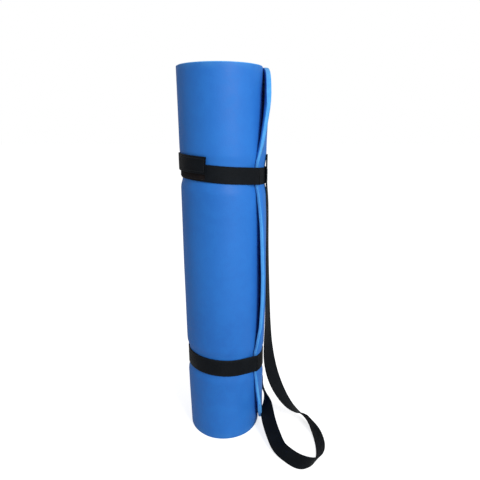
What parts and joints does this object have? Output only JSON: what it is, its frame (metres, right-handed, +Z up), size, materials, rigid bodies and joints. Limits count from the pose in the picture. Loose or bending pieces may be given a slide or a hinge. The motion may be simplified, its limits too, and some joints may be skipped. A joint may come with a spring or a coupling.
{
  "type": "foam sleeping pad",
  "caption": "Closed-cell foam sleeping pad rolled up and standing on its end, held by webbing bands with hook-and-loop tabs and carried by a long webbing strap that lies in a loop on the floor.",
  "frame": {"origin": "on the roll's axis, in the flat end face that the roll stands on", "axes": "+Z up along the roll's axis, -Y towards the front, +X to the right, the side that the carrying strap is on"},
  "size_m": [0.2397, 0.2207, 0.6],
  "materials": {
    "foam": "matte closed-cell foam skin",
    "webbing": "matte woven polypropylene webbing",
    "fastener_tape": "matte hook-and-loop tape",
    "thread": "matte sewing thread"
  },
  "bodies": {
    "pad": {"foam_pad": "foam", "upper_band": "webbing", "upper_pile_tape": "fastener_tape", "upper_tack": "thread", "lower_band": "webbing", "lower_pile_tape": "fastener_tape", "lower_tack": "thread"},
    "upper_tab": {"upper_tab": "webbing", "upper_hook_tape": "fastener_tape"},
    "lower_tab": {"lower_tab": "webbing", "lower_hook_tape": "fastener_tape"},
    "carry_strap": {"carry_strap": "webbing"}
  },
  "joints": [
    {"name": "upper_tab_peel", "type": "hinge", "parent": "pad", "child": "upper_tab", "pos_m": [-0.065, 0.0253, 0.4666], "axis": [0, 0, -1], "range_deg": [0, 100]},
    {"name": "lower_tab_peel", "type": "hinge", "parent": "pad", "child": "lower_tab", "pos_m": [0.0361, 0.0623, 0.1353], "axis": [0, 0, -1], "range_deg": [0, 100]},
    {"name": "strap_swing", "type": "hinge", "parent": "pad", "child": "carry_strap", "pos_m": [0.071, 0.005, 0.3], "axis": [0, 0, 1], "range_deg": [-15, 60], "deforming": ["carry_strap"]}
  ]
}
